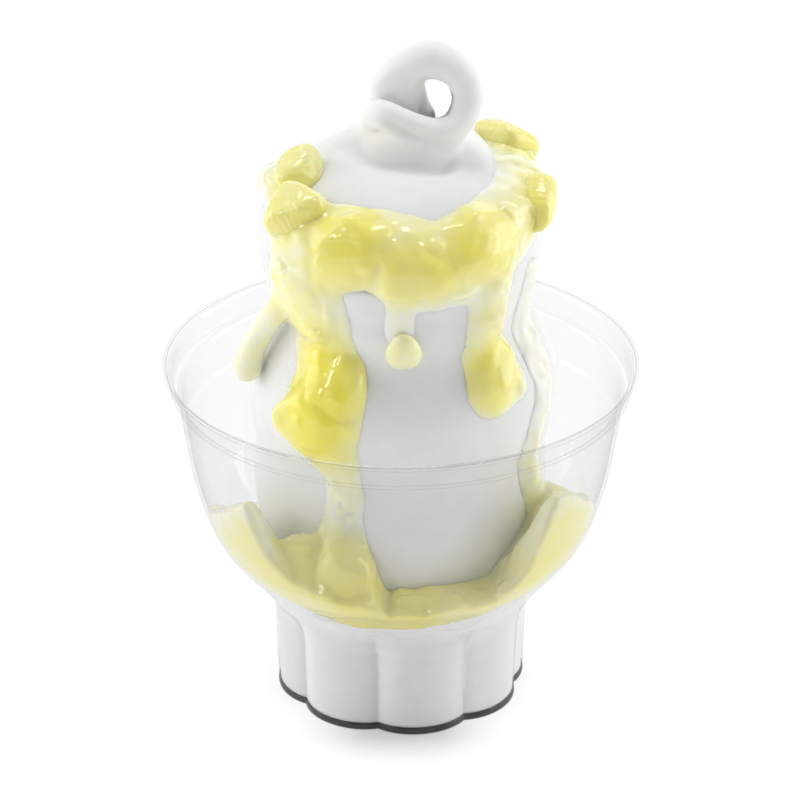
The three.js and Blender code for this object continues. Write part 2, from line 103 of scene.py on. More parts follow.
def shared(a, b, blend):
    """What two fields have in common, rounded over a blend."""
    return -joined(-a, -b, blend)


def angle_of(points):
    return np.degrees(np.arctan2(points[:, 0], -points[:, 1]))


def radius_of(points):
    return np.hypot(points[:, 0], points[:, 1])


def polar(angle, radius, height):
    turn = math.radians(angle)
    return np.array([radius * math.sin(turn), -radius * math.cos(turn), height])


def turned(angle, centre):
    """How far an angle is from another, from -180 to 180."""
    return (angle - centre + 180) % 360 - 180


LATTICE = 24


def noise(points, size, seed):
    """Smooth noise from -1 to 1 whose lumps are about that size."""
    lattice = np.random.default_rng(seed).uniform(-1, 1, (LATTICE, LATTICE, LATTICE))
    place = points / size
    cell = np.floor(place).astype(int)
    share = place - cell
    share = share * share * (3 - 2 * share)
    total = np.zeros(len(points))
    for corner in np.ndindex(2, 2, 2):
        weight = np.prod(np.where(corner, share, 1 - share), axis=1)
        index = (cell + corner) % LATTICE
        total += weight * lattice[index[:, 0], index[:, 1], index[:, 2]]
    return total


# ---------------- from a field to a mesh

BLOCK = 8
CHUNK = 150_000


def in_chunks(field, points):
    return np.concatenate([field(points[i:i + CHUNK]) for i in range(0, len(points), CHUNK)])


def grid_values(field, low, counts, cell, steepness):
    """The field on a grid, worked out in full only in the blocks near its surface."""
    blocks = np.array(counts) // BLOCK
    places = np.indices(blocks).reshape(3, -1).T
    centres = low + (places * BLOCK + (BLOCK - 1) / 2) * cell
    middle = in_chunks(field, centres)
    near = np.abs(middle) < steepness * cell * BLOCK * math.sqrt(3) / 2 + cell
    values = np.repeat(middle[:, None], BLOCK ** 3, axis=1)
    inside_block = np.indices((BLOCK, BLOCK, BLOCK)).reshape(3, -1).T
    points = (places[near][:, None, :] * BLOCK + inside_block) * cell + low
    values[near] = in_chunks(field, points.reshape(-1, 3)).reshape(-1, BLOCK ** 3)
    values = values.reshape(*blocks, BLOCK, BLOCK, BLOCK)
    return values.transpose(0, 3, 1, 4, 2, 5).reshape(counts)


def surface_net(field, low, high, cell, steepness=1.3, polish=2):
    """A closed mesh of quads over the surface of a field, which is negative inside."""
    low = np.array(low, float)
    spans = (np.array(high, float) - low) / cell
    counts = tuple(int(math.ceil((span + 1) / BLOCK)) * BLOCK for span in spans)
    values = grid_values(field, low, counts, cell, steepness)
    inside = values < 0
    filled = sum(
        inside[i:counts[0] - 1 + i, j:counts[1] - 1 + j, k:counts[2] - 1 + k].astype(np.int8)
        for i, j, k in np.ndindex(2, 2, 2)
    )
    crossed = (filled > 0) & (filled < 8)
    cells = np.argwhere(crossed)
    number = np.full(crossed.shape, -1)
    number[crossed] = np.arange(len(cells))
    total = np.zeros((len(cells), 3))
    crossings = np.zeros(len(cells))
    corner_value = {
        corner: values[cells[:, 0] + corner[0], cells[:, 1] + corner[1], cells[:, 2] + corner[2]]
        for corner in np.ndindex(2, 2, 2)
    }
    for start in np.ndindex(2, 2, 2):
        for axis in range(3):
            if start[axis]:
                continue
            end = tuple(1 if i == axis else start[i] for i in range(3))
            a, b = corner_value[start], corner_value[end]
            hit = (a < 0) != (b < 0)
            place = np.tile(np.array(start, float), (hit.sum(), 1))
            place[:, axis] = a[hit] / (a[hit] - b[hit])
            total[hit] += place
            crossings[hit] += 1
    points = low + (cells + total / crossings[:, None]) * cell
    faces = []
    for axis in range(3):
        one, two = (axis + 1) % 3, (axis + 2) % 3
        here = np.take(inside, range(counts[axis] - 1), axis)
        there = np.take(inside, range(1, counts[axis]), axis)
        edges = np.argwhere(here != there)
        edges = edges[(edges[:, one] > 0) & (edges[:, two] > 0)]
        edges = edges[(edges[:, one] < counts[one] - 1) & (edges[:, two] < counts[two] - 1)]
        outward = here[tuple(edges.T)]
        back_one, back_two = np.eye(3, dtype=int)[one], np.eye(3, dtype=int)[two]
        ring = [edges - back_one - back_two, edges - back_two, edges, edges - back_one]
        quads = np.stack([number[tuple(corner.T)] for corner in ring], axis=1)
        quads[~outward] = quads[~outward][:, ::-1]
        faces.append(quads)
    for _ in range(polish):
        points = on_surface(field, points, cell)
    return points, np.concatenate(faces).tolist()


def slope(field, points, reach=0.05):
    """The field's gradient."""
    steps = np.eye(3) * reach
    rises = [in_chunks(field, points + step) - in_chunks(field, points - step) for step in steps]
    return np.stack(rises, axis=1) / (2 * reach)


def on_surface(field, points, cell):
    """Points moved along the gradient to where the field is zero, by less than a cell."""
    gradient = slope(field, points)
    square = np.maximum((gradient ** 2).sum(1), 0.2)
    step = -in_chunks(field, points)[:, None] * gradient / square[:, None]
    length = np.linalg.norm(step, axis=1, keepdims=True)
    return points + step * np.minimum(1, 0.5 * cell / np.maximum(length, 1e-9))


def add_piece(name, points, faces, material, nodes, place=None, attributes=None):
    """A smooth mesh in the frame that stands for some CAD nodes."""
    mesh = bpy.data.meshes.new(name)
    mesh.from_pydata((points * MM).tolist(), [], faces)
    mesh.validate()
    mesh.shade_smooth()
    for label, values in (attributes or {}).items():
        layer = mesh.attributes.new(label, "FLOAT", "POINT")
        layer.data.foreach_set("value", values.astype(np.float32))
    mesh.materials.append(material)
    piece = bpy.data.objects.new(name, mesh)
    bpy.context.scene.collection.objects.link(piece)
    if place is not None:
        piece.matrix_world = place
    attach(piece, "root")
    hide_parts(*nodes)
    return piece


# ---------------- the ice cream


def spline(marks, steps):
    """A smooth line through marks, with so many steps between each two."""
    marks = np.array(marks, float)
    padded = np.vstack([marks[0], marks, marks[-1]])
    line = []
    for i in range(1, len(padded) - 2):
        a, b, c, d = padded[i - 1:i + 3]
        for t in np.arange(steps) / steps:
            ease = 0.5 * (c - a), 0.5 * (d - b)
            line.append(
                (2 * t ** 3 - 3 * t ** 2 + 1) * b + (t ** 3 - 2 * t ** 2 + t) * ease[0]
                + (3 * t ** 2 - 2 * t ** 3) * c + (t ** 3 - t ** 2) * ease[1]
            )
    return np.array(line + [marks[-1]])


class Turned:
    """Signed distance to a closed outline of (radius, height) marks turned round the axis."""

    STEP = 0.25

    def __init__(self, outline):
        outline = np.array(outline, float)
        self.low = np.array([0, outline[:, 1].min() - 6])
        high = outline.max(0) + 8
        shape = np.ceil((high - self.low) / self.STEP).astype(int) + 1
        r, z = np.meshgrid(*(self.low[i] + np.arange(shape[i]) * self.STEP for i in (0, 1)),
                           indexing="ij")
        place = np.stack([r.ravel(), z.ravel()], axis=1)
        nearest = np.full(len(place), np.inf)
        inside = np.zeros(len(place), bool)
        for a, b in zip(outline, np.roll(outline, -1, axis=0)):
            on_axis = a[0] < 1e-6 and b[0] < 1e-6
            along = b - a
            share = np.clip((place - a) @ along / max(along @ along, 1e-12), 0, 1)
            away = np.linalg.norm(place - a - share[:, None] * along, axis=1)
            if not on_axis:
                nearest = np.minimum(nearest, away)
            if a[1] != b[1]:
                between = (a[1] > place[:, 1]) != (b[1] > place[:, 1])
                cross = a[0] + (place[:, 1] - a[1]) * along[0] / along[1]
                inside ^= between & (place[:, 0] < cross)
        self.values = np.where(inside, -nearest, nearest).reshape(shape)

    def __call__(self, radius, height):
        place = (np.stack([radius, height], axis=1) - self.low) / self.STEP
        limit = np.array(self.values.shape) - 1.001
        held = np.clip(place, 0, limit)
        cell = held.astype(int)
        share = held - cell
        i, j = cell.T
        s, t = share.T
        v = self.values
        value = ((v[i, j] * (1 - s) + v[i + 1, j] * s) * (1 - t)
                 + (v[i, j + 1] * (1 - s) + v[i + 1, j + 1] * s) * t)
        return value + np.linalg.norm(place - held, axis=1) * self.STEP


def crease_depth(angle):
    """0 in the middle of a lobe of the foot and 1 in the sharp crease between two lobes."""
    lobe = 360 / LOBES
    share = ((angle - FIRST_CREASE) % lobe) / lobe
    return np.abs(2 * share - 1) ** 2.2


def flute(angle, height):
    return LOBE_DEPTH * crease_depth(angle) * fade(height, FOOT_TOP - 1, FLUTE_END)


def unevenness(angle, height):
    """Soft ice cream isn't quite round: how far it departs from its outline at a place."""
    wave = np.radians(2 * angle + 5 * height), np.radians(3 * angle - 8 * height + 40)
    drift = 0.35 * np.sin(wave[0]) + 0.2 * np.sin(wave[1])
    return drift * smooth_step(height, 26, 36) * fade(height, 110, 116)


def front_waist(angle, height):
    """At the front the crease under the top tier lies lower, and is soft and shallow."""
    front = bump(turned(angle, 4), 0, 42)
    return front * (1.9 * bump(height, 87, 4.5) - 1.1 * bump(height, 80.5, 4))


# How far what fills the cup reaches into its wall: the ice cream, and the sauce over it.
IN_WALL = 0.35
SAUCE_IN_WALL = 0.42
outside = np.array(CUP_OUTSIDE, float)


def cup_radius(height):
    return np.interp(height, outside[:, 1], outside[:, 0])


def cup_inside(height):
    slant = np.hypot(1, (cup_radius(height + 0.5) - cup_radius(height - 0.5)))
    return cup_radius(height) - WALL * np.minimum(slant, 1.8)


# Where the lower edge of the sauce runs, by angle: (angle, height).
POOL_BOTTOM = [
    (-180, 28), (-120, 28), (-80, 30), (-60, 31), (-42, 31), (-32, 28.6), (-18, 27), (0, 27.2),
    (20, 28), (39, 29.8), (60, 30.5), (90, 30), (120, 28), (180, 28),
]
pool_bottom_line = spline(POOL_BOTTOM, 5)


def pool_bottom(angle):
    """The lowest that the sauce reaches: below it the ice cream fills the cup."""
    return np.interp(angle, pool_bottom_line[:, 0], pool_bottom_line[:, 1])


FOOT_FILL = FOOT_RADIUS - WALL + IN_WALL
tier_line = spline(TIERS, 12)
tiers_turned = Turned([
    (0, FLOOR - 0.3), (FOOT_FILL, FLOOR - 0.3), (FOOT_FILL + 0.15, 8),
    (FOOT_FILL + 0.3, FOOT_TOP - 1), *tier_line, (6, 119), (0, 119.5),
])


def tiers(points):
    """The tiers without their small folds: what the sauce lies on."""
    angle, height = angle_of(points), points[:, 2]
    swell = unevenness(angle, height) + front_waist(angle, height) - flute(angle, height)
    return tiers_turned(radius_of(points) - swell, height)


def strand_line(knots, steps=6):
    """A smooth line through knots (x, y, z, radius), even also where they lie close together."""
    knots = np.array(knots, float)
    before, after = 2 * knots[0] - knots[1], 2 * knots[-1] - knots[-2]
    padded = np.vstack([before, knots, after])
    gaps = np.sqrt(np.linalg.norm(np.diff(padded[:, :3], axis=0), axis=1))
    line = []
    for i in range(1, len(padded) - 2):
        a, b, c, d = padded[i - 1:i + 3]
        first, middle, last = gaps[i - 1:i + 2]
        leave = ((b - a) / first - (c - a) / (first + middle) + (c - b) / middle) * middle
        arrive = ((c - b) / middle - (d - b) / (middle + last) + (d - c) / last) * middle
        for t in np.arange(steps) / steps:
            point = (
                (2 * t ** 3 - 3 * t ** 2 + 1) * b + (t ** 3 - 2 * t ** 2 + t) * leave
                + (3 * t ** 2 - 2 * t ** 3) * c + (t ** 3 - t ** 2) * arrive
            )
            point[3] = b[3] + t * (c[3] - b[3])
            line.append(point)
    return np.array(line + [knots[-1]])


def strand(points, knots):
    """A round strand through knots (x, y, z, radius)."""
    line = strand_line(knots)
    result = None
    for a, b in zip(line[:-1], line[1:]):
        along = b[:3] - a[:3]
        share = np.clip((points - a[:3]) @ along / (along @ along), 0, 1)
        away = np.linalg.norm(points - a[:3] - share[:, None] * along, axis=1)
        away -= a[3] + share * (b[3] - a[3])
        result = away if result is None else np.minimum(result, away)
    return result


# The last strand starts on the right of the dome and winds round the back of the neck to the
# left. It crosses the front downwards to the right, climbs the right side, goes over the top
# and down the left, and its thin tail curls up inside the loop. Knots are (x, y, z, radius).
CURL = [
    (13.6, -2.6, 112.5, 3.6), (13, 3, 113.5, 3.9), (9.9, 9, 114.7, 4), (3.5, 11, 117, 4),
    (-2.6, 8, 119.2, 3.7), (-4.6, 3.6, 122.2, 3.1), (-4.9, -0.6, 125.1, 2.6), (-3.1, -4, 127, 2.2),
    (0.2, -5.4, 126.2, 2), (3.6, -5.7, 124.8, 2.1), (7.2, -5, 123.6, 2.4), (10.8, -3.2, 124.2, 2.9),
    (13, -0.8, 128.4, 3.2), (11.2, 0.4, 133.5, 3.4), (5.8, 1, 135.9, 3.9), (0.4, 1.4, 133.5, 3.7),
    (-2.9, 1.6, 129.4, 3.4), (-1.4, 1.8, 125.4, 3),
]
CURL_TAIL = [
    (-1.4, 1.8, 125.4, 3), (1.8, 1.6, 124, 2.4), (4.8, 1.6, 123.6, 1.9), (4, 1.9, 126.4, 1.5),
    (3.5, 2, 129.2, 1.3), (2.4, 1.6, 132, 1.6),
]
CURL_WEB = [(0.4, 0.4, 125, 2.3), (1, 0.5, 128.4, 2.6), (1.2, 0.7, 131.4, 2.4)]
# A second, thinner ridge lies under the strand where it crosses the front.
CURL_RIDGE = [
    (-4.9, 1.4, 122.2, 2.7), (-5.2, -1.8, 124.4, 2.2), (-3.9, -4.9, 125.3, 1.6),
    (-1.8, -6.3, 124.2, 1.3), (0.6, -7, 122.8, 1.1), (2.7, -7.3, 121.5, 0.8),
]
# On the left the dome sweeps up into the neck.
CURL_ROOT = [(-17, 4, 110.6, 3), (-13, 4.6, 113.8, 3.4), (-8.8, 5, 116.4, 3.6), (-4, 4, 118.6, 4.4)]
# On the right its first turn comes up softly out of the dome.
CURL_START = [(15, -6.5, 110.4, 3), (13.8, -2.6, 112.4, 3.7), (13, 3, 113.4, 4), (9.9, 9, 114.6, 4)]
NECK_AXIS = np.array([2.7, 2.2, 0])
neck_turned = Turned([
    (0, 110), (10.2, 110), (10.1, 118), (9.8, 121), (9.3, 123), (7.8, 125), (5, 126.4), (0, 127),
])


def ice_cream(points):
    body = tiers(points)
    angle, height = angle_of(points), points[:, 2]
    # Below the sauce it fills the cup's throat and reaches just into the wall.
    throat = (radius_of(points) - cup_inside(height) - IN_WALL + flute(angle, height)) * 0.8
    throat = shared(throat, (height - pool_bottom(angle) - 2) * 0.9, 1)
    throat = np.maximum(throat, 15 - height)
    body = np.minimum(body, throat)
    # A fold runs across the front of the top tier, with a crisp lower lip.
    fold = smooth_step(height, 99.2, 99.8) * fade(height, 100.5, 104.5)
    body = body + 1.5 * fold * bump(turned(angle, 2), 0, 20)
    body = body + 0.06 * noise(points, 5, 11)
    near_top = height > 104
    top = points[near_top]
    from_neck = radius_of(top - NECK_AXIS)
    neck = neck_turned(from_neck, top[:, 2])
    # The neck's top falls away to the back behind the loop's hole, so that the hole stays open.
    behind_hole = smooth_step(top[:, 0], -1.5, 3) * fade(top[:, 0], 10, 12.5)
    fall = (0.66 * (top[:, 1] + 5)) * behind_hole - 2.2 * (1 - behind_hole)
    neck = shared(neck, (top[:, 2] - 123.2 + fall) * 0.85, 1.5)
    loop = strand(top, CURL)
    inner = joined(strand(top, CURL_WEB), strand(top, CURL_TAIL), 1.4)
    twist = joined(joined(loop, inner, 2), strand(top, CURL_RIDGE), 1)
    # The dome dips a little round the foot of the neck.
    dip = 1.5 * bump(from_neck, 11.4, 2.6) * fade(top[:, 1], -3, 3) * fade(top[:, 0], 8, 12)
    root = joined(strand(top, CURL_ROOT), strand(top, CURL_START), 1)
    # On the right the strand runs into the neck; in front and on the left it stays clear of it.
    blend = 0.9 + 3 * smooth_step(top[:, 0], 4, 11)
    dome = joined(body[near_top] + dip, root, 3)
    result = body.copy()
    result[near_top] = joined(joined(neck, twist, blend), dome, 0.7 + 0.5 * blend)
    return result


# ---------------- the sauce

# Each run of sauce is a line over the skin: (angle, height, half width, thickness).
RUNS = {
    "collar": [
        (-62, 110.6, 5, 2.6), (-45, 107, 8.3, 3), (-30, 107, 8.8, 3.2), (-14, 108.6, 7.4, 3),
        (0, 106.6, 8.4, 3.1), (14, 103.8, 8, 3.3), (28, 105.5, 8.6, 3.2), (42, 107.5, 8, 3),
        (60, 109.5, 7.6, 2.8), (78, 111, 7.4, 2.6), (98, 111.8, 7.2, 2.6), (118, 110.5, 7, 2.6),
        (138, 104, 6.6, 2.6), (160, 100, 7, 2.8), (184, 101, 6.2, 2.6), (206, 99.5, 7, 2.8),
        (230, 102, 6, 2.6), (250, 107, 5.4, 2.6), (268, 111, 5, 2.6), (284, 111.4, 4.6, 2.6),
        (298, 110.6, 5, 2.6),
    ],
    "main drip": [
        (-44, 101, 9.5, 2.6), (-42, 94, 9, 2.4), (-37, 87, 7.6, 2.4), (-31, 80, 7, 2.9),
        (-32, 73, 8.8, 3.4), (-33, 68, 7.8, 3.2), (-25, 62, 4.8, 2.4), (-23, 54, 3.8, 2.2),
        (-24, 50, 4, 2.2), (-24, 44, 5, 2.4), (-25, 36, 6, 2.4),
    ],
    "left drip": [(-46, 101, 6, 2.4), (-52, 95, 5.4, 2.2), (-59, 90, 4.4, 2)],
    "right drip": [
        (38, 100, 5.8, 2.5), (38, 92, 4.8, 2.4), (36.5, 86, 4.8, 2.4), (39, 79.5, 5.2, 2.5),
        (37.5, 75.5, 5.6, 2.6),
    ],
    "right drip side": [(40, 85, 4, 2), (45, 79.5, 4.2, 2.2), (50, 75.2, 3.2, 2)],
    "pale drip": [
        (64, 97, 3, 1.1), (67, 91, 3.8, 1.2), (68, 85, 4.4, 1.3), (68, 79, 4.4, 1.3),
        (67, 73, 3.8, 1.2), (62, 67, 3.4, 1.1), (59, 61, 3.2, 1.1), (61, 55, 3.6, 1.5),
        (65, 49, 4.4, 1.8),
    ],
    "trail": [(2, 101, 2.6, 0.5), (0, 96, 2.4, 0.45), (-1, 90.5, 2.6, 0.5)],
    "back drip": [(166, 97, 6, 2.4), (169, 88, 4.4, 2.2), (168, 80, 3.8, 2.4), (169, 72, 4.2, 2.8)],
    "back left drip": [(212, 97, 5, 2.4), (211, 89, 3.8, 2.2), (213, 82, 3.6, 2.4)],
}

# The drip on the left hangs clear of the tier below: (angle, radius, height, thickness / 2).
LEFT_TAIL = [
    (-52, 26.5, 96, 2.6), (-58, 27.6, 91, 2.5), (-66, 29.3, 84.6, 2.5), (-68.5, 31.4, 79.7, 2.6),
    (-69.5, 32.3, 75.6, 2.9),
]
left_tail = [(*polar(angle, radius, height), half) for angle, radius, height, half in LEFT_TAIL]


def skin_radius(angle, height):
    """The radius of the tiers' skin at a place."""
    radius = np.interp(height, tier_line[:, 1], tier_line[:, 0])
    return radius + unevenness(angle, height) + front_waist(angle, height)


def run_segments(runs):
    """Short straight pieces of every run: both ends with their half width and thickness."""
    segments = []
    for run in runs:
        line = spline(run, 4)
        ends = [
            (polar(a, float(skin_radius(a, h)), h), width, thickness)
            for a, h, width, thickness in line
        ]
        segments += list(zip(ends[:-1], ends[1:]))
    return segments


def sauce_depth(points, segments, sharpness=2.2):
    """How thick the sauce lies over a place: a bead along each run, and negative outside them."""
    wander = points + 0.5 * np.stack([noise(points, 3.2, s) for s in (21, 22, 23)], axis=1)
    total = np.zeros(len(points))
    for (a, width_a, thick_a), (b, width_b, thick_b) in segments:
        along = b - a
        share = np.clip((wander - a) @ along / max(along @ along, 1e-9), 0, 1)
        away = np.linalg.norm(wander - a - share[:, None] * along, axis=1)
        width = width_a + share * (width_b - width_a)
        thick = thick_a + share * (thick_b - thick_a)
        rise = 1 - np.minimum(away / width, 2.5) ** 2
        bead = thick * np.where(rise > 0, 1, -1.3) * np.abs(rise) ** 1.3
        total += np.exp(np.clip(bead, -4, 6) * sharpness)
    return np.log(total + 1e-9) / sharpness - 0.3


# ---------------- the pineapple

# Each piece on the tiers: name, angle, height, how far its middle is lifted off the skin, its
# width, height and depth, how far it is turned in its own plane, and how far the sauce covers it.
TIER_PIECES = [
    ("pineapple_left", -50, 111, 1.9, (13, 11.5, 8.6), 35, -0.7),
    ("pineapple_left_high", -72, 114, 1.7, (11.5, 9.5, 8.6), -24, -0.7),
    ("pineapple_right", 71, 109.4, 2, (12.5, 8.4, 8.6), 14, -0.7),
    ("pineapple_right_high", 122, 112.2, 1.6, (13.5, 12, 9.2), 14, -0.7),
    ("pineapple_front_left", -22, 107, 0.1, (12.5, 13, 5.6), 30, 0.35),
    ("pineapple_front", 5, 103.6, 0.2, (12, 9, 5.4), 8, 0.3),
    ("pineapple_front_right", 36, 108, 0.3, (12, 11.5, 5.6), -12, 0.3),
    ("pineapple_back", 162, 101, 1.8, (11, 10, 7), 40, -0.9),
    ("pineapple_back_left", 214, 100, 1.8, (11, 9.5, 7), -25, -0.9),
    ("pineapple_main_drip", -37, 71, 0.5, (15, 12, 6), 14, 0.3),
    ("pineapple_main_drip_high", -25, 79, 0.2, (10, 12, 5), 5, 0.35),
    ("pineapple_right_drip", 39.5, 79.5, 0.4, (9.5, 12.5, 5.2), -24, 0.3),
]
# Each piece in the bowl: the same, with its distance from the axis in place of the lift.
BOWL_PIECES = [
    ("pineapple_bowl_left", -36, 41.5, 32.6, (10, 9, 7), 10, 0.1),
    ("pineapple_bowl_front", -20, 40.5, 32.2, (12, 10, 7), -12, 0.1),
    ("pineapple_bowl_right", 66, 43.5, 33.6, (11, 10, 7), 6, 0.3),
    ("pineapple_bowl_back", 150, 33, 31.6, (12, 8, 6.5), 0, 0.2),
]


def piece_frame(angle, middle, out, spin):
    """Axes of a piece as columns: its width, its height and its depth, which points outwards."""
    side = polar(angle + 90, 1, 0)
    up = np.cross(out, side)
    turn = math.radians(spin)
    width = side * math.cos(turn) + up * math.sin(turn)
    height = up * math.cos(turn) - side * math.sin(turn)
    return middle, np.stack([width, height, out], axis=1)


def tier_frame(angle, height, lift, spin):
    row = int(np.argmax(tier_line[:, 1] >= height))
    along = tier_line[min(row + 1, len(tier_line) - 1)] - tier_line[row - 1]
    along /= np.linalg.norm(along)
    out = polar(angle, along[1], -along[0])
    place = polar(angle, float(skin_radius(angle, height)), height)
    return piece_frame(angle, place + lift * out, out, spin)


# How far the fruit's fibres lie apart.
FIBRE = 1.3


class Fruit:
    """A wedge of fruit with soft, irregular faces."""

    def __init__(self, size, cover, middle, axes, seed):
        self.size, self.cover, self.seed = np.array(size), cover, seed
        self.middle, self.axes = middle, axes
        random = np.random.default_rng(seed)
        cuts = random.normal(size=(5, 3)) * (1, 1, 0.5)
        self.cuts = cuts / np.linalg.norm(cuts, axis=1, keepdims=True)
        self.cut_share = random.uniform(0.72, 0.86, 5)

    def local(self, points):
        return (points - self.middle) @ self.axes

    def solid(self, place, rounding=2.1):
        """The field in the piece's own axes."""
        half = self.size / 2
        wedge = place.copy()
        wedge[:, 0] /= 1 - 0.22 * place[:, 1] / half[1]
        result = np.full(len(place), -99.0)
        for axis in range(3):
            for sign in (-1, 1):
                result = shared(result, sign * wedge[:, axis] - half[axis] * 0.94, rounding)
        for cut, share in zip(self.cuts, self.cut_share):
            reach = np.linalg.norm(cut * half)
            result = shared(result, wedge @ cut - share * reach * 1.05, rounding)
        ball = (np.linalg.norm(place / half, axis=1) - 1) * half.min()
        return 0.6 * result + 0.4 * ball

    def __call__(self, points):
        place = self.local(points)
        across = place[:, 0] + 0.8 * noise(place, 3, self.seed + 1)
        fibres = 0.02 * np.sin(2 * np.pi * across / FIBRE)
        return self.solid(place) + fibres + 0.4 * noise(place, 3.4, self.seed + 2)


fruit = {}
for number, (name, angle, height, lift, size, spin, cover) in enumerate(TIER_PIECES):
    fruit[name] = Fruit(size, cover, *tier_frame(angle, height, lift, spin), 100 + 10 * number)
for number, (name, angle, height, radius, size, spin, cover) in enumerate(BOWL_PIECES):
    frame = piece_frame(angle, polar(angle, radius, height), polar(angle, 1, 0), spin)
    fruit[name] = Fruit(size, cover, *frame, 300 + 10 * number)
tier_fruit = [fruit[row[0]] for row in TIER_PIECES]
bowl_fruit = [fruit[row[0]] for row in BOWL_PIECES]

# How far the sauce, and the fruit, reach in under the ice cream's skin.
UNDER_SKIN = 0.6
FRUIT_UNDER_SKIN = 1.2

segments = run_segments(RUNS.values())
low_segments = run_segments([RUNS["main drip"][-4:], RUNS["pale drip"][-3:]])


def fruit_near(points, pieces):
    """The distance to the nearest of some pieces of fruit with the sauce that covers them."""
    nearest = np.full(len(points), 9.0)
    for piece in pieces:
        close = np.linalg.norm(points - piece.middle, axis=1) < piece.size.max() * 0.5 + 6
        reach = piece.solid(piece.local(points[close])) - piece.cover
        nearest[close] = np.minimum(nearest[close], reach)
    return nearest


def collar(points):
    """The sauce round the top tier, with its drips and the coat that it puts on the fruit."""
    skin = tiers(points)
    depth = sauce_depth(points, segments)
    bits = smooth_step(noise(points, 3.4, 31), 0.05, 0.6) * smooth_step(depth, 0.6, 1.8)
    grain = 0.2 * noise(points, 5, 32) + 0.22 * noise(points, 2, 33)
    top = depth + 0.8 * bits + grain * smooth_step(depth, 0.2, 1.4)
    film = joined(skin - top, strand(points, left_tail), 1.4)
    coat = fruit_near(points, tier_fruit)
    return np.maximum(joined(film, coat, 2.4), -skin - UNDER_SKIN)


# ---------------- the sauce in the bowl

# How high the sauce stands, by angle: (angle, height at the cup's wall, height at the ice cream).
POOL_LEVELS = [
    (-180, 31.5, 32.5), (-150, 31.5, 32.5), (-120, 32, 33), (-105, 33.5, 34.5), (-92, 37.5, 37.5),
    (-82, 41, 39), (-73, 44, 38.5), (-66, 46.8, 38.5), (-60, 49, 38.5), (-54, 51.3, 38),
    (-49, 53, 38), (-46, 53, 38), (-43.5, 48.5, 38.5), (-41, 44, 40), (-37, 41, 42.5),
    (-33, 39, 45.5), (-26, 37, 46.5), (-19, 36, 46), (-12, 35.3, 42.5), (-8, 34.4, 37.5),
    (-5, 33, 34.5), (0, 33, 35), (20, 33.5, 35), (30, 34.5, 35), (36, 37, 35), (39.5, 41, 35.5),
    (41.5, 47, 36.5), (44, 52.5, 37.5), (47, 55, 38), (51, 56, 39), (57, 53.5, 42),
    (62, 50.6, 45.5), (67, 48.5, 48.5), (73, 46, 48.5), (79, 43, 45), (86, 40, 41.5),
    (94, 37, 38.5), (107, 33.5, 35), (120, 32, 33.5), (150, 31.5, 32.5), (180, 31.5, 32.5),
]
pool_outer = spline([(a, wall) for a, wall, _ in POOL_LEVELS], 5)
pool_inner = spline([(a, skin) for a, _, skin in POOL_LEVELS], 5)


def pool_top(points):
    """How high the sauce stands at a place, with its uneven top."""
    angle = angle_of(points)
    height = points[:, 2]
    inside = cup_inside(height)
    share = (inside - radius_of(points)) / np.maximum(inside - skin_radius(angle, height), 1)
    outer = np.interp(angle, pool_outer[:, 0], pool_outer[:, 1])
    inner = np.interp(angle, pool_inner[:, 0], pool_inner[:, 1])
    level = outer + (inner - outer) * smooth_step(share, 0.1, 0.95)
    return level + 0.8 * noise(points, 6, 41) + 0.4 * noise(points, 2.6, 42)


def pool(points):
    angle, height, radius = angle_of(points), points[:, 2], radius_of(points)
    skin = tiers(points)
    wall = (radius - cup_inside(height) - SAUCE_IN_WALL + flute(angle, height)) * 0.8
    bits = smooth_step(noise(points, 3.6, 43), 0, 0.6)
    top = (height - pool_top(points) - 0.9 * bits) * 0.6
    filled = joined(top, fruit_near(points, bowl_fruit), 2.4)
    filled = joined(filled, skin - sauce_depth(points, low_segments), 2.4)
    solid = shared(filled, wall, 1.6)
    solid = np.maximum(solid, pool_bottom(angle) + 0.5 * noise(points, 4, 44) - height)
    return np.maximum(solid, -skin - UNDER_SKIN)


# ---------------- materials


def new_material(name):
    material = bpy.data.materials.new(name)
    material.use_nodes = True
    tree = material.node_tree
    tree.nodes.clear()
    return material, tree


def new_node(tree, kind, **inputs):
    """A shader node of a kind, with some of its inputs set by name."""
    node = tree.nodes.new("ShaderNode" + kind)
    for name, value in inputs.items():
        node.inputs[name.replace("_", " ")].default_value = value
    return node


def link(tree, start, output, end, socket):
    tree.links.new(start.outputs[output], end.inputs[socket])


def ramp(tree, stops):
    """A colour ramp with its stops, each a position and a colour."""
    node = new_node(tree, "ValToRGB")
    elements = node.color_ramp.elements
    while len(elements) < len(stops):
        elements.new(0.5)
    for element, (position, colour) in zip(elements, stops):
        element.position = position
        element.color = (*colour, 1)
    return node


def principled(tree, **inputs):
    """The material's shader, which its output shows."""
    node = new_node(tree, "BsdfPrincipled", **inputs)
    link(tree, node, "BSDF", new_node(tree, "OutputMaterial"), "Surface")
    return node


def map_range(tree, low, high, to_low, to_high):
    ends = {"From_Min": low, "From_Max": high, "To_Min": to_low, "To_Max": to_high}
    return new_node(tree, "MapRange", **ends)


def math_node(tree, operation):
    node = new_node(tree, "Math")
    node.operation = operation
    return node


def colour_mix(tree):
    """A node that mixes two colours, with its two colour inputs and its colour output."""
    node = new_node(tree, "Mix")
    node.data_type = "RGBA"
    first, second = [socket for socket in node.inputs if socket.type == "RGBA"]
    return node, first, second, next(socket for socket in node.outputs if socket.type == "RGBA")


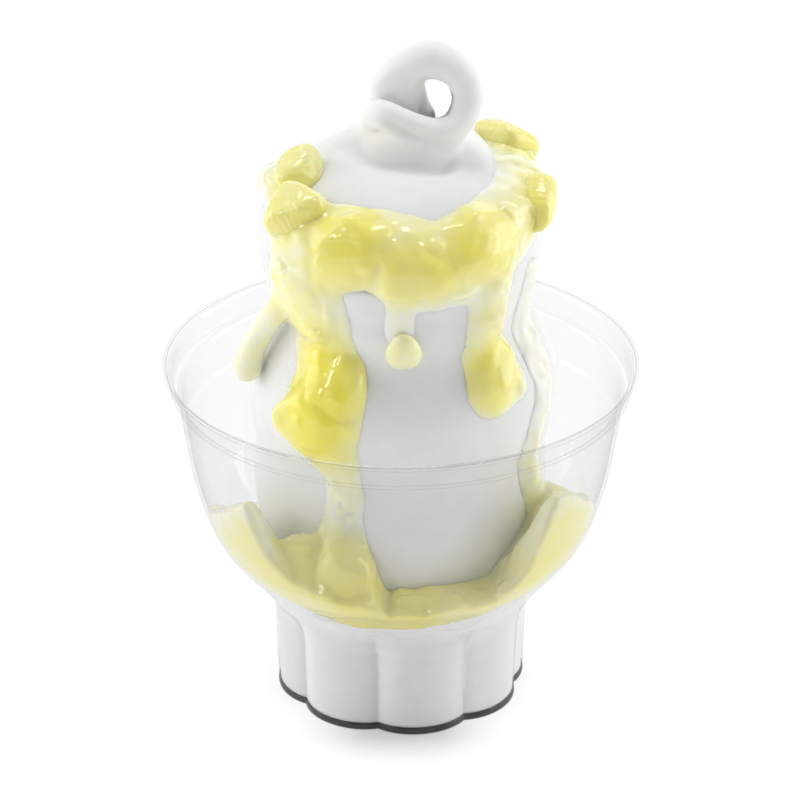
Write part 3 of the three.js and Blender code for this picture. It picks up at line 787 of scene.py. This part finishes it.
def noise_bump(tree, shader, scale, strength, distance, detail=3.0, stretch=(1, 1, 1)):
    """Fine noise in a shader's relief. The noise is returned, so that it varies the colour too."""
    coords = new_node(tree, "TexCoord")
    mapping = new_node(tree, "Mapping", Scale=stretch)
    texture = new_node(tree, "TexNoise", Scale=scale, Detail=detail)
    relief = new_node(tree, "Bump", Strength=strength, Distance=distance)
    link(tree, coords, "Object", mapping, "Vector")
    link(tree, mapping, "Vector", texture, "Vector")
    link(tree, texture, "Fac", relief, "Height")
    link(tree, relief, "Normal", shader, "Normal")
    return texture


# Painted shade: deep, narrow places of the ice cream are painted dark under the loop's hole, where
# the strand crosses the loop, and along the hole's rim. Each is a line (x, y, z), its reach in
# full, its whole reach and its depth.
PAINTED_SHADES = [
    ([(3.2, 1.6, 124.9), (5.4, 1.2, 123.9), (8, 0.8, 124.5), (9.8, 0.6, 127)], 0.7, 2.1, 0.75),
    ([(-3.6, -2.2, 127.6), (-1.4, -3.4, 127.6), (0.8, -4, 126.8)], 0.1, 0.8, 0.5),
    ([(6.4, -4, 125.9), (8.4, -3.4, 126.1), (9.6, -2, 127.2), (9.9, -1, 129.2)], 0.4, 1.5, 0.6),
    # Softer painted shade: round the foot of the neck, a painted shadow beside the right drip, and
    # across the middle tier.
    ([(-5.8, -4, 112.6), (-0.5, -8.2, 112), (6, -8.2, 112), (11.2, -4, 112.6)], 0.8, 3.4, 0.2),
    ([polar(27, 28, 92), polar(29, 30.5, 80)], 1.5, 7.5, 0.1),
    ([polar(-14, 29, 80), polar(18, 29, 80)], 3, 13, 0.05),
]
# The most that painted shade darkens the ice cream's colour.
DARKEST_PAINTED_SHADE = 0.85


def painted_lobe_shade(points):
    """Painted light and shade on the foot: each lobe is painted lightest beside its left crease, as
    if lit from the left, and darker towards its right.
    """
    phase = ((angle_of(points) - FIRST_CREASE) % (360 / LOBES)) * LOBES / 360
    across = 0.08 * smooth_step(phase, 0.1, 0.3) + 0.07 * smooth_step(phase, 0.88, 1)
    return across * fade(points[:, 2], 21, 25)


def painted_shade(points):
    """How much painted shade darkens a place of the ice cream: in folds and gaps, on the foot's
    lobes, and a little everywhere below the dome's top.
    """
    # Painted shade: a little darker everywhere below the dome's top, which leaves the dome and the
    # curl lighter, and the painted shade on the foot's lobes.
    dark = 0.06 * fade(points[:, 2], 116, 122) + painted_lobe_shade(points)
    for line, near, far, depth in PAINTED_SHADES:
        away = strand(points, [(*place, 0) for place in line])
        dark = dark + depth * fade(away, near, far)
    return np.minimum(dark, DARKEST_PAINTED_SHADE)


def ice_cream_material():
    material, tree = new_material("ice_cream_soft")
    shader = principled(
        tree, Roughness=0.42, IOR=1.4, Subsurface_Weight=0.5, Subsurface_Scale=0.0009,
        Specular_IOR_Level=0.45, Subsurface_Radius=(1.0, 0.95, 0.85),
    )
    texture = noise_bump(tree, shader, scale=260, strength=0.12, distance=0.0003)
    tint = ramp(tree, [(0.3, (0.865, 0.87, 0.86)), (0.7, (0.9, 0.9, 0.89))])
    # Painted shade: this attribute mixes the ice cream's colour towards near black.
    shade_attribute = new_node(tree, "Attribute")
    shade_attribute.attribute_name = "painted_shade"
    darken, light, dark, mixed = colour_mix(tree)
    dark.default_value = (0.03, 0.032, 0.03, 1)
    link(tree, texture, "Fac", tint, "Fac")
    link(tree, shade_attribute, "Fac", darken, 0)
    tree.links.new(tint.outputs["Color"], light)
    tree.links.new(mixed, shader.inputs["Base Color"])
    return material


# Milky where the sauce is thin, through pale yellow, to a deep yellow at the fruit's heart.
YELLOWS = [
    (0.0, (0.9, 0.905, 0.85)),
    (0.2, (0.91, 0.9, 0.62)),
    (0.5, (0.91, 0.86, 0.34)),
    (1.0, (0.92, 0.82, 0.12)),
]


def yellow_material(name, roughness, scatter, relief, stretch=(1, 1, 1), painted_shade_scale=1.0):
    """Sauce or fruit, coloured by its ripeness. The relief is its noise's scale and height."""
    material, tree = new_material(name)
    bump_scale, bump_height = relief
    shader = principled(
        tree, Roughness=roughness, IOR=1.42, Subsurface_Weight=scatter, Subsurface_Scale=0.0011,
        Specular_IOR_Level=0.5, Coat_Weight=0.8, Coat_Roughness=0.03, Coat_IOR=1.4,
        Subsurface_Radius=(1.0, 0.8, 0.25),
    )
    texture = noise_bump(tree, shader, bump_scale, 0.35, bump_height, 2.5, stretch)
    depth = new_node(tree, "Attribute")
    depth.attribute_name = "ripeness"
    shift = map_range(tree, 0.3, 0.7, -0.07, 0.07)
    add = math_node(tree, "ADD")
    # A scale below 1 makes a darker copy of the material: painted shade.
    colours = ramp(tree, [(mark, np.array(colour) * painted_shade_scale) for mark, colour in YELLOWS])
    link(tree, texture, "Fac", shift, "Value")
    link(tree, depth, "Fac", add, 0)
    link(tree, shift, "Result", add, 1)
    link(tree, add, "Value", colours, "Fac")
    link(tree, colours, "Color", shader, "Base Color")
    return material


# From seen straight on, at 0, to edge on, at 1: the plastic's tint, and how much it reflects.
CUP_TINT = [(0, (0.961, 0.964, 0.964)), (0.7, (0.95, 0.953, 0.953)), (1, (0.92, 0.923, 0.923))]
CUP_SHINE = [(0, 0.038), (0.5, 0.055), (0.7, 0.13), (0.85, 0.23), (1, 0.5)]


def clear_material():
    """Thin clear plastic: it dims what is behind it, more so edge on, and reflects."""
    material, tree = new_material("clear_cup")
    output = new_node(tree, "OutputMaterial")
    facing = new_node(tree, "LayerWeight", Blend=0.5)
    tint = ramp(tree, CUP_TINT)
    shine = ramp(tree, [(mark, (share,) * 3) for mark, share in CUP_SHINE])
    thin = new_node(tree, "BsdfTransparent")
    gloss = new_node(tree, "BsdfGlossy", Roughness=0.04)
    body = new_node(tree, "MixShader")
    path = new_node(tree, "LightPath")
    plain = new_node(tree, "BsdfTransparent", Color=(0.985, 0.985, 0.985, 1))
    soft = math_node(tree, "MAXIMUM")
    mix = new_node(tree, "MixShader")
    link(tree, facing, "Facing", tint, "Fac")
    link(tree, facing, "Facing", shine, "Fac")
    link(tree, tint, "Color", thin, "Color")
    link(tree, shine, "Color", body, "Fac")
    link(tree, thin, "BSDF", body, 1)
    link(tree, gloss, "BSDF", body, 2)
    link(tree, path, "Is Shadow Ray", soft, 0)
    link(tree, path, "Is Diffuse Ray", soft, 1)
    link(tree, soft, "Value", mix, "Fac")
    link(tree, body, "Shader", mix, 1)
    link(tree, plain, "BSDF", mix, 2)
    link(tree, mix, "Shader", output, "Surface")
    return material


# The foot's rim is drawn as a near black ring that stands for the shade under the cup: painted
# shadow.
def foot_shadow_material():
    material, tree = new_material("foot_rim_painted_shadow")
    shader = principled(tree, Roughness=0.3, IOR=1.46, Specular_IOR_Level=0.5)
    texture = noise_bump(tree, shader, scale=400, strength=0.1, distance=0.0002)
    tint = ramp(tree, [(0.3, (0.03, 0.032, 0.034)), (0.7, (0.05, 0.053, 0.055))])
    link(tree, texture, "Fac", tint, "Fac")
    link(tree, tint, "Color", shader, "Base Color")
    return material


# ---------------- building the pieces

cell_scale = 1.0
ICE_CREAM_CELL = 0.62 * cell_scale
COLLAR_CELL = 0.55 * cell_scale
POOL_CELL = 0.7 * cell_scale
DROP_CELL = 0.35 * cell_scale
FRUIT_CELL = 0.38 * cell_scale

# The ice cream's painted shade goes on its mesh as an attribute.
points, faces = surface_net(ice_cream, (-33, -33, 0), (33, 33, 140), ICE_CREAM_CELL)
add_piece("soft_serve", points, faces, ice_cream_material(), ["ice_cream"],
          attributes={"painted_shade": painted_shade(points)})

SAUCE_RELIEF = 380, 0.0004
PULP_RELIEF = 330, 0.0005
sauce = yellow_material("sauce_wet", 0.16, 0.45, SAUCE_RELIEF)
# The sauce in the cup is a darker copy of the same sauce: painted shade.
shaded_sauce = yellow_material("sauce_in_cup_shaded", 0.16, 0.45, SAUCE_RELIEF, painted_shade_scale=0.915)
pulp = yellow_material("pineapple_wet", 0.2, 0.4, PULP_RELIEF, stretch=(3, 0.5, 1))


# Where the sauce is richer than its depth makes it: (angle, radius, height, reach, by how much).
RICH_SPOTS = [
    (-26, 30, 103, 7, 0.08), (28, 30, 104, 7, 0.06), (0, 26, 111, 12, 0.2), (60, 28, 108, 10, 0.04),
    (4, 30, 104, 12, -0.1), (-40, 29, 103, 10, -0.06), (22, 27, 110, 8, 0.12),
    (-24, 27, 111, 8, 0.12), (-46, 29, 93, 11, 0.14), (-31, 31, 82, 10, 0.3),
    (-31, 33, 75, 10, 0.24), (-24, 31, 66, 7, 0.22), (-68, 31, 79, 8, 0.12),
    (36, 29, 88, 8, 0.14), (37, 32, 80, 8, 0.1), (69, 30, 76, 14, -0.14), (68, 28, 96, 9, -0.1),
    (-30, 33, 34, 12, 0.2), (-6, 31, 31, 12, 0.36), (16, 31, 31, 11, 0.3), (40, 33, 34, 11, 0.24),
    (54, 38, 40, 10, 0.1), (47, 41, 47, 10, 0.08), (-50, 40, 42, 10, 0.06),
]


# How much riper sauce is for each millimetre of its depth, and over fruit.
RIPER_BY_DEPTH = 0.1
RIPER_BY_FRUIT = 0.38


def ripeness(points, depth, pieces, base=0.05):
    """How yellow the sauce is: by its depth, in its rich spots, and near or over fruit."""
    value = base + RIPER_BY_DEPTH * np.maximum(depth, 0)
    for angle, radius, height, reach, more in RICH_SPOTS:
        away = np.linalg.norm(points - polar(angle, radius, height), axis=1)
        value = value + more * fade(away, 0.4 * reach, 1.4 * reach)
    value = value + RIPER_BY_FRUIT * fade(fruit_near(points, pieces), -0.5, 4)
    return np.clip(value, 0, 1)


points, faces = surface_net(collar, (-36, -36, 32), (36, 36, 120), COLLAR_CELL, steepness=2.6)
depth = in_chunks(lambda p: sauce_depth(p, segments), points)
add_piece("sauce_over_tiers", points, faces, sauce, ["sauce_collar"],
          attributes={"ripeness": ripeness(points, depth, tier_fruit)})

points, faces = surface_net(pool, (-45, -45, 24), (45, 45, 62), POOL_CELL, steepness=1.8)
depth = np.clip((pool_top(points) - points[:, 2]) / 2, -0.2, 3.6) + 0.8 * noise(points, 6, 51)
add_piece("sauce_in_bowl", points, faces, shaded_sauce, ["sauce_pool"],
          attributes={"ripeness": ripeness(points, depth, bowl_fruit, base=0.14)})

# The drop's half width, half height and half depth.
DROP_HALF = np.array([3.5, 4.2, 2.2])
drop_middle, drop_axes = tier_frame(1, 87.6, 0.6, 0)


def drop(points):
    """A rounded drop, narrower at its top."""
    scaled = (points - drop_middle) @ drop_axes / DROP_HALF
    scaled[:, 0] *= 1 + 0.18 * scaled[:, 1]
    ball = (np.linalg.norm(scaled, axis=1) - 1) * DROP_HALF[2]
    return np.maximum(ball, -tiers(points) - UNDER_SKIN)


points, faces = surface_net(drop, drop_middle - 6, drop_middle + 6, DROP_CELL)
add_piece("sauce_drop_front", points, faces, sauce, ["sauce_drop"],
          attributes={"ripeness": np.full(len(points), 0.3)})

for name, piece in fruit.items():
    reach = np.linalg.norm(piece.size) / 2 + 1
    in_bowl = piece in bowl_fruit

    def shape(points, piece=piece, in_bowl=in_bowl):
        value = np.maximum(piece(points), -tiers(points) - FRUIT_UNDER_SKIN)
        if in_bowl:
            inside = cup_inside(points[:, 2]) + IN_WALL - flute(angle_of(points), points[:, 2])
            value = np.maximum(value, (radius_of(points) - inside) * 0.8)
        return value

    low, high = piece.middle - reach, piece.middle + reach
    points, faces = surface_net(shape, low, high, FRUIT_CELL, steepness=1.6)
    local = piece.local(points)
    depth = in_chunks(lambda p: sauce_depth(p, segments), points)
    ripe = ripeness(points, depth, [piece]) + 0.16 + 0.1 * noise(local, 4, piece.seed + 3)
    rows = [[*piece.axes[row], piece.middle[row] * MM] for row in range(3)]
    place = Matrix([*rows, [0, 0, 0, 1]])
    add_piece(name + "_piece", local, faces, pulp, [name], place,
              {"ripeness": np.clip(ripe, 0, 1)})

# ---------------- the cup


def rounded(marks, times):
    """A line whose corners are cut again and again, with its ends kept."""
    line = np.array(marks, float)
    for _ in range(times):
        a, b = line[:-1], line[1:]
        cut = np.stack([0.75 * a + 0.25 * b, 0.25 * a + 0.75 * b], axis=1).reshape(-1, 2)
        line = np.vstack([line[0], cut, line[-1]])
    return line


def offset(line, distance):
    along = np.gradient(line, axis=0)
    along /= np.linalg.norm(along, axis=1, keepdims=True)
    return line + distance * np.stack([-along[:, 1], along[:, 0]], axis=1)


def turned_mesh(profile, columns=192):
    """A mesh from a profile that starts and ends on the axis, fluted where the foot is."""
    angles = FIRST_CREASE + 360 * np.arange(columns) / columns
    turn = np.radians(angles)
    radius, height = profile[1:-1].T
    points = []
    for r, z in zip(radius, height):
        reach = r - flute(angles, z) * min(1, r / FOOT_RADIUS)
        ring = [reach * np.sin(turn), -reach * np.cos(turn), np.full(columns, z)]
        points.append(np.stack(ring, axis=1))
    points = np.concatenate([*points, [[0, 0, profile[0][1]], [0, 0, profile[-1][1]]]])
    faces = []
    for row in range(len(radius) - 1):
        for column in range(columns):
            after = (column + 1) % columns
            faces.append([row * columns + column, row * columns + after,
                          (row + 1) * columns + after, (row + 1) * columns + column])
    bottom, top = len(radius) * columns, len(radius) * columns + 1
    last = (len(radius) - 1) * columns
    for column in range(columns):
        after = (column + 1) % columns
        faces.append([bottom, after, column])
        faces.append([top, last + column, last + after])
    return points, faces


outer = rounded(CUP_OUTSIDE, 2)
inner = offset(outer, WALL)[::-1]
inner = inner[inner[:, 1] > FLOOR + 1]
profile = np.vstack([
    [(0, FOOT_RIM - 0.3), (FOOT_RADIUS - 1, FOOT_RIM - 0.3)], outer, inner,
    [(FOOT_RADIUS - WALL, FLOOR + 0.8), (FOOT_RADIUS - WALL - 0.6, FLOOR + 0.4), (0, FLOOR + 0.4)],
])
points, faces = turned_mesh(profile)
add_piece("cup_shell", points, faces, clear_material(), ["cup"])

# The foot's rim, whose dark colour is painted shadow.
foot_shadow_profile = np.array([
    (0, 0), (FOOT_RADIUS - 0.5, 0), (FOOT_RADIUS - 0.05, 0.15), (FOOT_RADIUS + 0.05, 0.5),
    (FOOT_RADIUS + 0.05, 1.1), (FOOT_RADIUS - 0.1, FOOT_RIM), (FOOT_RADIUS - 1.2, FOOT_RIM),
    (FOOT_RADIUS - 1.4, FLOOR - 0.4), (0, FLOOR - 0.4),
])
points, faces = turned_mesh(foot_shadow_profile)
add_piece("foot_shadow_ring", points, faces, foot_shadow_material(), ["cup"])

# ---------------- floor, light and camera


# The floor's painted shadow: where it ends sideways and where it starts in front, in metres, and
# how strong it is outside that patch and in it.
SHADE_ACROSS = 0.008, 0.021
SHADE_FRONT = -0.016, -0.026
SHADE_STRENGTH = 0.15, 1.1


def floor_material():
    """A white floor with a painted shadow close to what stands on it, most of all in front."""
    material, tree = new_material("floor_white")
    shader = principled(
        tree, Roughness=0.6, Specular_IOR_Level=0.1, Base_Color=(0.13, 0.13, 0.13, 1),
        Emission_Strength=0.92,
    )
    near = new_node(tree, "AmbientOcclusion", Distance=0.014)
    near.samples = 8
    place = new_node(tree, "TexCoord")
    split = new_node(tree, "SeparateXYZ")
    across = math_node(tree, "ABSOLUTE")
    middle = map_range(tree, *SHADE_ACROSS, 1, 0)
    front = map_range(tree, *SHADE_FRONT, 0, 1)
    both = math_node(tree, "MULTIPLY")
    strength = map_range(tree, 0, 1, *SHADE_STRENGTH)
    shade, white, shaded, mixed = colour_mix(tree)
    shade.clamp_factor = False
    white.default_value = (1, 1, 1, 1)
    link(tree, place, "Object", split, "Vector")
    link(tree, split, "X", across, 0)
    link(tree, across, "Value", middle, "Value")
    link(tree, split, "Y", front, "Value")
    link(tree, middle, "Result", both, 0)
    link(tree, front, "Result", both, 1)
    link(tree, both, "Value", strength, "Value")
    link(tree, strength, "Result", shade, 0)
    tree.links.new(near.outputs["Color"], shaded)
    tree.links.new(mixed, shader.inputs["Emission Color"])
    return material


bpy.ops.mesh.primitive_plane_add(size=6, location=(0, 0, 0))
floor = bpy.context.object
floor.name = "floor"
floor.data.materials.append(floor_material())


def area_light(name, place, size, power, aim=(0, 0, 0.07)):
    data = bpy.data.lights.new(name, "AREA")
    data.shape = "RECTANGLE"
    data.size, data.size_y = size
    data.energy = power
    light = bpy.data.objects.new(name, data)
    light.location = place
    light.rotation_euler = (Vector(aim) - Vector(place)).to_track_quat("-Z", "Y").to_euler()
    bpy.context.scene.collection.objects.link(light)
    return light


# Each light: its name, place, width and height, and power, in metres and watts.
area_light("left_wall", (-0.8, 0.05, 0.22), (0.7, 0.6), 2.2)
area_light("right_wall", (0.8, 0.02, 0.18), (0.7, 0.6), 2.9)
area_light("back_wall", (0.1, 0.8, 0.5), (1.0, 0.5), 0.9)
area_light("top_back", (-0.05, 0.2, 0.85), (0.3, 0.25), 1.6)
area_light("right_high", (0.6, 0, 0.62), (0.35, 0.3), 0.65)
area_light("left_high", (-0.6, 0, 0.62), (0.35, 0.3), 0.4)
area_light("left_strip", (-0.5, -0.42, 0.42), (0.07, 0.24), 0.62)
area_light("right_spark", (0.35, -0.3, 0.7), (0.05, 0.05), 0.22)


def fill_light(name, start, end, size, power):
    """A small unseen light, from one (angle, radius, height) to another, for a shaded gap."""
    light = area_light(name, polar(*start) * MM, size, power, polar(*end) * MM)
    light.visible_camera = False
    light.visible_glossy = False


fill_light("left_drip_gap", (-46, 52, 84), (-58, 29, 82), (0.02, 0.02), 0.0005)

# The room is bright behind and at the sides and darker on the camera's side.
FRONT_LIGHT = 0.125
SIDE_LIGHT = 0.55
BACK_LIGHT = 0.6
world = bpy.data.worlds.new("soft_room")
bpy.context.scene.world = world
world.use_nodes = True
tree = world.node_tree
background = tree.nodes["Background"]
direction = new_node(tree, "TexCoord")
split = new_node(tree, "SeparateXYZ")
span = map_range(tree, -1, 1, 0, 1)
room = ramp(tree, [(0, (FRONT_LIGHT,) * 3), (0.5, (SIDE_LIGHT,) * 3), (1, (BACK_LIGHT,) * 3)])
link(tree, direction, "Generated", split, "Vector")
link(tree, split, "Y", span, "Value")
link(tree, span, "Result", room, "Fac")
link(tree, room, "Color", background, "Color")
background.inputs["Strength"].default_value = 1

# The camera: how far it looks down, how far off it stands, where it aims, and its lens.
CAMERA_TILT = 26.46
CAMERA_REACH = 0.95
AIM = Vector((-0.0002, 0, 0.0628))
FOCAL_LENGTH = 213.8
lens = bpy.data.cameras.new("camera")
lens.sensor_width = 36
lens.lens = FOCAL_LENGTH
lens.clip_start = 0.05
camera = bpy.data.objects.new("camera", lens)
tilt = math.radians(CAMERA_TILT)
back = Vector((0, -math.cos(tilt), math.sin(tilt)))
camera.location = AIM + CAMERA_REACH * back
camera.rotation_euler = back.to_track_quat("Z", "Y").to_euler()
bpy.context.scene.collection.objects.link(camera)
bpy.context.scene.camera = camera

bpy.context.scene.view_settings.view_transform = "Standard"
